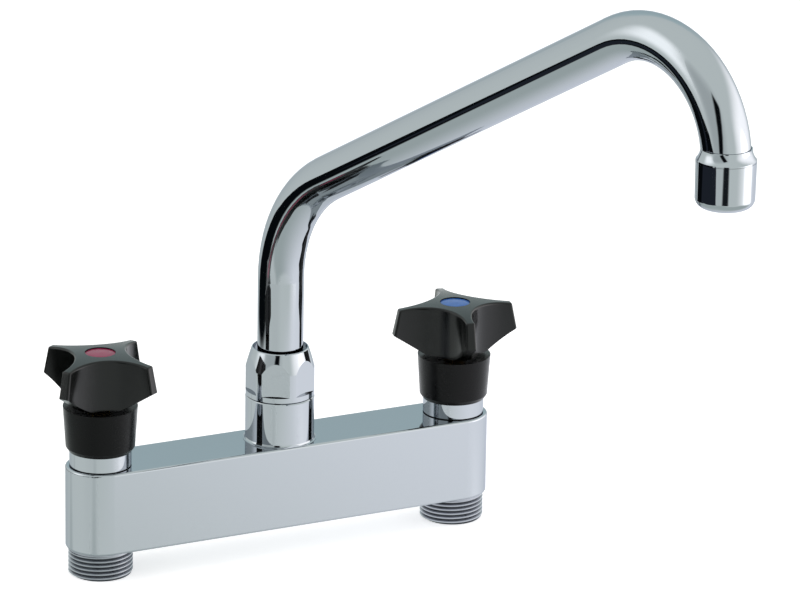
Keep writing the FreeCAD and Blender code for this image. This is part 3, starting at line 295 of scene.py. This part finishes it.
TURNING_PITCH_MM = 0.35
TARNISH_MM = 6.0
WAVE_RADIANS = 20  # that a wave texture of scale 1 goes through in a metre
brass, tree, shader, place = new_material("turned_brass", "B99A55", 1.0, 0.28)
tarnish = noise(tree, place, TARNISH_MM, detail=4.0)
tint(tree, shader, (tarnish, "Fac"), "A07F3E", "C9AA63")
spread(tree, (tarnish, "Fac"), 0.34, 0.2, shader.inputs["Roughness"])
rings = add_node(tree, "ShaderNodeTexWave", {"bands_direction": "Z"}, Vector=(place, "Object"),
                 Scale=1000 / TURNING_PITCH_MM / WAVE_RADIANS * 2 * math.pi, Distortion=0.4)
relief(tree, shader, (rings, "Fac"), depth_mm=0.01)
dress(("hot_spindle", "cold_spindle", "hot_plunger", "cold_plunger", "hot_washer_screw",
       "cold_washer_screw", "spout_foot"), brass)

# ---------------------------------------------------------------------------
# Retaining clips and handle screws: spring steel wire and zinc plated steel, with a faint grey
# mottle from the barrel that tumbled them.

BARREL_MOTTLE_MM = 1.2
steel, tree, shader, place = new_material("spring_steel", "8E8F92", 1.0, 0.3)
mottle = noise(tree, place, BARREL_MOTTLE_MM, detail=3.0)
tint(tree, shader, (mottle, "Fac"), "7B7C80", "A2A3A6")
spread(tree, (mottle, "Fac"), 0.24, 0.38, shader.inputs["Roughness"])
relief(tree, shader, (mottle, "Fac"), depth_mm=0.008)
dress(("hot_retaining_clip", "cold_retaining_clip", "hot_handle_screw", "cold_handle_screw"), steel)

# ---------------------------------------------------------------------------
# Seat washers, bonnet washers and O-rings: black nitrile rubber, moulded, with a dry bloom that
# leaves paler flecks on the matte skin.

BLOOM_MM = 0.8
rubber, tree, shader, place = new_material("nitrile_rubber", "17181A", 0.0, 0.62)
bloom = noise(tree, place, BLOOM_MM, detail=3.0)
tint(tree, shader, (bloom, "Fac"), "121314", "232426")
spread(tree, (bloom, "Fac"), 0.5, 0.72, shader.inputs["Roughness"])
relief(tree, shader, (bloom, "Fac"), depth_mm=0.015)
dress(("hot_spindle_o_rings", "cold_spindle_o_rings", "hot_seat_washer", "cold_seat_washer",
       "hot_bonnet_washer", "cold_bonnet_washer", "spout_o_rings", "aerator_washer"), rubber)

# ---------------------------------------------------------------------------
# Split ring and jet former: white acetal, injection moulded, slightly milky with flow marks. The
# ring holds the spout's foot under the nut, and the former lies in the aerator's cap.

FLOW_MARK_MM = 4.0
acetal, tree, shader, place = new_material("white_acetal", "DCDDD8", 0.0, 0.38)
flow = noise(tree, place, FLOW_MARK_MM, detail=2.0, stretch=(1, 1, 0.35))
tint(tree, shader, (flow, "Fac"), "D2D3CE", "E6E7E2")
spread(tree, (flow, "Fac"), 0.32, 0.46, shader.inputs["Roughness"])
shader.inputs["Subsurface Weight"].default_value = 0.1
shader.inputs["Subsurface Scale"].default_value = 0.001
dress(("spout_split_ring", "aerator_insert"), acetal)

# ---------------------------------------------------------------------------
# Sleeves: conical shrouds of black ABS from a polished mould, slipped over the bonnets' collars.
# They are nearly smooth, with slight sinks and a few duller patches where a cloth has rubbed.

RUB_MM = 5.0
SINK_MM = 9.0
sleeve_black, tree, shader, place = new_material("black_abs_sleeve", "040404", 0.0, 0.3)
shader.inputs["Specular IOR Level"].default_value = 0.17
rub = noise(tree, place, RUB_MM, detail=1.0)
spread(tree, (rub, "Fac"), 0.25, 0.31, shader.inputs["Roughness"])
sink = noise(tree, place, SINK_MM, detail=0.0)
tint(tree, shader, (sink, "Fac"), "030303", "070606")
relief(tree, shader, (sink, "Fac"), depth_mm=0.03)
dress(("hot_sleeve", "cold_sleeve"), sleeve_black)

# ---------------------------------------------------------------------------
# Cross handles: near-black ABS from a spark-eroded mould, so a fine satin grain lies on every
# face, which hands have polished unevenly. A screw under the button holds each to its spindle.

GRAIN_MM = 0.35
CHARCOAL_CLOUD_MM = 7.0
handle_black, tree, shader, place = new_material("charcoal_abs_handle", "030404", 0.0, 0.18)
shader.inputs["Specular IOR Level"].default_value = 0.34
cloud = noise(tree, place, CHARCOAL_CLOUD_MM, detail=3.0)
tint(tree, shader, (cloud, "Fac"), "030403", "080908")
grain = noise(tree, place, GRAIN_MM, detail=2.0)
spread(tree, (cloud, "Fac"), 0.15, 0.22, shader.inputs["Roughness"])
relief(tree, shader, (grain, "Fac"), depth_mm=0.012)
dress(("hot_handle", "cold_handle"), handle_black)

# ---------------------------------------------------------------------------
# Index buttons: small glossy caps of dyed polystyrene pressed into the handles, red for hot and
# blue for cold, the dye a little uneven.

DYE_MM = 2.5
for node_name, name, dark, pale in (("hot_index_button", "red_index_cap", "861040", "9E2450"),
                                    ("cold_index_button", "blue_index_cap", "1C52A0", "2F6CC0")):
    cap, tree, shader, place = new_material(name, pale, 0.0, 0.2)
    dye = noise(tree, place, DYE_MM, detail=2.0)
    tint(tree, shader, (dye, "Fac"), dark, pale)
    spread(tree, (dye, "Fac"), 0.16, 0.26, shader.inputs["Roughness"])
    relief(tree, shader, (dye, "Fac"), depth_mm=0.01)
    shader.inputs["Specular IOR Level"].default_value = 0.25
    dress((node_name,), cap)

# ---------------------------------------------------------------------------
# Studio: a pale floor in a white room, a soft lamp at each side, and large soft panels that only
# reflections show: bright at the sides, dark where the photographer stood, black mats at the left.
# The camera stands where the photographer did, with a long lens, a little above the faucet.

AZIMUTH, ELEVATION, ROLL = math.radians(-26.81), math.radians(18.24), math.radians(0.96)
DISTANCE, SCALE = 2.2152, 2408.2
CENTRE_X, CENTRE_Y = 278.68, 515.99
PICTURE_WIDTH, PICTURE_HEIGHT = 800.0, 600.0
SENSOR_MM = 36.0
FAR_CLIP = 40.0
back = Vector((math.sin(AZIMUTH) * math.cos(ELEVATION), -math.cos(AZIMUTH) * math.cos(ELEVATION),
               math.sin(ELEVATION)))
level = Vector((math.cos(AZIMUTH), math.sin(AZIMUTH), 0))
upright = back.cross(level)
right = math.cos(ROLL) * level + math.sin(ROLL) * upright
up = -math.sin(ROLL) * level + math.cos(ROLL) * upright
camera_data = bpy.data.cameras.new("camera")
camera = bpy.data.objects.new("camera", camera_data)
bpy.context.scene.collection.objects.link(camera)
camera_data.sensor_width = SENSOR_MM
camera_data.lens = SCALE * DISTANCE * SENSOR_MM / PICTURE_WIDTH
spot = (DISTANCE * back - (CENTRE_X - PICTURE_WIDTH / 2) / SCALE * right
        + (CENTRE_Y - PICTURE_HEIGHT / 2) / SCALE * up)
camera.matrix_world = Matrix.Translation(spot) @ Matrix((right, up, back)).transposed().to_4x4()
camera_data.clip_end = FAR_CLIP
bpy.context.scene.camera = camera

# The floor glows a little for the camera, so that it comes out as pale as a cut-out background.
FLOOR_SIZE = 30.0
FLOOR_GLOW = 0.5
PAPER_CLOUD_MM = 40.0


def seen_directly(tree):
    """A node that is 1 for the rays that look: from the camera, off a mirror, or through glass."""
    ray = add_node(tree, "ShaderNodeLightPath")
    seen = add_node(tree, "ShaderNodeMath", {"operation": "MAXIMUM"}, i0=(ray, "Is Camera Ray"),
                    i1=(ray, "Is Glossy Ray"))
    return add_node(tree, "ShaderNodeMath", {"operation": "MAXIMUM"}, i0=(seen, "Value"),
                    i1=(ray, "Is Transmission Ray"))


bpy.ops.object.select_all(action="DESELECT")
bpy.ops.mesh.primitive_plane_add(size=FLOOR_SIZE, location=(0, 0, TAIL_END))
floor = bpy.context.object
floor.name = "studio_floor"
floor.visible_glossy = False
floor_paint, tree, shader, place = new_material("pale_floor", "F4F4F4", 0.0, 0.9)
paper = noise(tree, place, PAPER_CLOUD_MM, detail=2.0)
tint(tree, shader, (paper, "Fac"), "F2F2F2", "F6F6F6")
glow = add_node(tree, "ShaderNodeEmission")
scaled = add_node(tree, "ShaderNodeMath", {"operation": "MULTIPLY"},
                  i0=(seen_directly(tree), "Value"), i1=FLOOR_GLOW)
tree.links.new(scaled.outputs["Value"], glow.inputs["Strength"])
both = add_node(tree, "ShaderNodeAddShader", i0=(shader, "BSDF"), i1=(glow, "Emission"))
tree.links.new(both.outputs["Shader"], tree.nodes["Material Output"].inputs["Surface"])
floor.data.materials.append(floor_paint)

# Lamps and walls stand round a point that lies ROOM_HEIGHT above the faucet's underside.
ROOM_RADIUS = 3.0
ROOM_HEIGHT = 0.1
PANEL_EDGE = 0.5


def aim(azimuth, elevation):
    """Direction from the faucet, azimuth counted from the camera's side towards the right."""
    turn, lift = math.radians(azimuth) + AZIMUTH, math.radians(elevation)
    return Vector((math.sin(turn) * math.cos(lift), -math.cos(turn) * math.cos(lift),
                   math.sin(lift)))


def facing(azimuth, elevation, distance):
    """Matrix of something that looks at the faucet from a direction, with its Y axis upward."""
    outward = aim(azimuth, elevation)
    across = Vector((0, 0, 1)).cross(outward).normalized()
    basis = Matrix((across, outward.cross(across), outward)).transposed().to_4x4()
    return Matrix.Translation(outward * distance + Vector((0, 0, ROOM_HEIGHT))) @ basis


def span(low, high):
    """Width at the room's radius of a range of degrees."""
    return 2 * ROOM_RADIUS * math.tan(math.radians(high - low) / 2)


def soft_lamp(name, azimuths, elevations, radiance):
    """Area lamp that fills a range of azimuths and elevations, and that reflections don't show."""
    data = bpy.data.lights.new(name, "AREA")
    data.shape = "RECTANGLE"
    data.size, data.size_y = span(*azimuths), span(*elevations)
    data.energy = radiance * math.pi * data.size * data.size_y
    lamp = bpy.data.objects.new(name, data)
    bpy.context.scene.collection.objects.link(lamp)
    lamp.matrix_world = facing(sum(azimuths) / 2, sum(elevations) / 2, ROOM_RADIUS)
    lamp.visible_camera = False
    lamp.visible_glossy = False


def panel(name, matrix, size, softness, colour, strength):
    """Studio panel that only reflections show, in one colour that fades out at its edges."""
    bpy.ops.mesh.primitive_plane_add(size=1.0)
    screen = bpy.context.object
    screen.name = name
    screen.matrix_world = matrix @ Matrix.Diagonal((size[0], size[1], 1, 1))
    screen.visible_camera = False
    screen.visible_diffuse = False
    screen.visible_shadow = False
    material, tree, shader, place = new_material(name + "_surface", colour, 0.0, 0.9)
    split = add_node(tree, "ShaderNodeSeparateXYZ", Vector=(place, "Object"))
    inside = []
    for axis, soft in zip("XY", softness):
        away = add_node(tree, "ShaderNodeMath", {"operation": "ABSOLUTE"}, i0=(split, axis))
        inside.append(add_node(tree, "ShaderNodeMapRange", {"interpolation_type": "SMOOTHSTEP"},
                               Value=(away, "Value"), From_Min=PANEL_EDGE,
                               From_Max=PANEL_EDGE - soft))
    cover = add_node(tree, "ShaderNodeMath", {"operation": "MULTIPLY"},
                     i0=(inside[0], "Result"), i1=(inside[1], "Result"))
    clear = add_node(tree, "ShaderNodeBsdfTransparent")
    lit = add_node(tree, "ShaderNodeEmission", Color=linear(colour), Strength=strength)
    mixed = add_node(tree, "ShaderNodeMixShader", i0=(cover, "Value"), i1=(clear, "BSDF"),
                     i2=(lit, "Emission"))
    tree.links.new(mixed.outputs["Shader"], tree.nodes["Material Output"].inputs["Surface"])
    tree.nodes.remove(shader)
    screen.data.materials.append(material)


def wall(name, azimuths, elevations, distance, softness, colour, strength):
    """Panel that fills a range of directions at a distance."""
    scale = distance / ROOM_RADIUS
    size = (span(*azimuths) * scale, span(*elevations) * scale)
    panel(name, facing(sum(azimuths) / 2, sum(elevations) / 2, distance), size, softness, colour,
          strength)


LAMP_RADIANCE = 1.1
soft_lamp("lamp_left", (-100, -55), (0, 45), LAMP_RADIANCE)
soft_lamp("lamp_right", (60, 130), (0, 30), LAMP_RADIANCE)

# Bright windows at both sides and behind, and the greyer end of the room where the camera stood.
wall("window_left", (-106, -50), (-8, 58), 2.90, (0.42, 0.4), "F8FAFA", 1.95)
wall("window_right", (36, 156), (-34, 44), 2.95, (0.42, 0.42), "FCFAFB", 2.1)
wall("strip_right", (62, 116), (-26, 14), 2.88, (0.38, 0.38), "FCFAFB", 3.4)
wall("bright_rear", (160, 196), (-15, 3), 2.80, (0.3, 0.3), "F4F8FF", 1.6)
wall("slate_rear", (146, 214), (4, 50), 2.85, (0.35, 0.3), "DAEFF1", 1.0)
wall("dim_front", (-72, 14), (-26, 50), 2.70, (0.4, 0.35), "D3DBDB", 1.0)

# The photographer, who leans a little, and below them, on the table, their feet and the black mats.
lean = Matrix.Rotation(math.radians(-24), 4, "Z")
panel("photographer", facing(-11, 12, 2.3) @ lean, (0.86, 2.15), (0.28, 0.12), "0E1114", 1.0)


def laid_down(height, turn, centre):
    """Matrix of a sheet that lies on the floor, turned first and then shifted along its sides."""
    return (Matrix.Translation((0, 0, TAIL_END + height)) @ Matrix.Rotation(turn, 4, "Z")
            @ Matrix.Translation((centre[0], centre[1], 0)))


panel("photographer_feet", laid_down(0.004, AZIMUTH, (0.147, -1.046)), (0.34, 0.85), (0.25, 0.1),
      "23272B", 1.0)
panel("black_mat", laid_down(0.003, 0, (-0.505, -0.17)), (0.31, 0.72), (0.06, 0.04), "2A2F38", 1.0)
panel("black_mat_rear", laid_down(0.002, math.radians(48.2), (-0.36, 0.535)), (1.08, 0.61),
      (0.04, 0.07), "0D1114", 1.0)

# The white table itself, bright at the right, and the dimmer ground far below it.
panel("table_right", laid_down(0.001, 0, (0.45, -0.03)), (1.2, 0.66), (0.3, 0.25), "EDEFF5", 1.55)
panel("table_below", Matrix.Translation((0, 0, -1.5)), (7.0, 7.0), (0.12, 0.12), "E0ECEA", 0.85)

# The white room itself, a little brighter to look at than the light that it gives.
WORLD_LIGHT = 0.7
WORLD_SEEN = 1.0
world = bpy.data.worlds.new("white_room")
bpy.context.scene.world = world
world.use_nodes = True
tree = world.node_tree
ray = add_node(tree, "ShaderNodeLightPath")
level_of_light = add_node(tree, "ShaderNodeMapRange", Value=(seen_directly(tree), "Value"),
                          To_Min=WORLD_LIGHT, To_Max=WORLD_SEEN)
tinge = add_node(tree, "ShaderNodeMix", {"data_type": "RGBA"}, i0=(ray, "Is Glossy Ray"),
                 i6=linear("FFFFFF"), i7=linear("F5FDFB"))
tree.links.new(tinge.outputs[2], tree.nodes["Background"].inputs["Color"])
tree.links.new(level_of_light.outputs["Result"], tree.nodes["Background"].inputs["Strength"])

bpy.context.scene.view_settings.view_transform = "Standard"
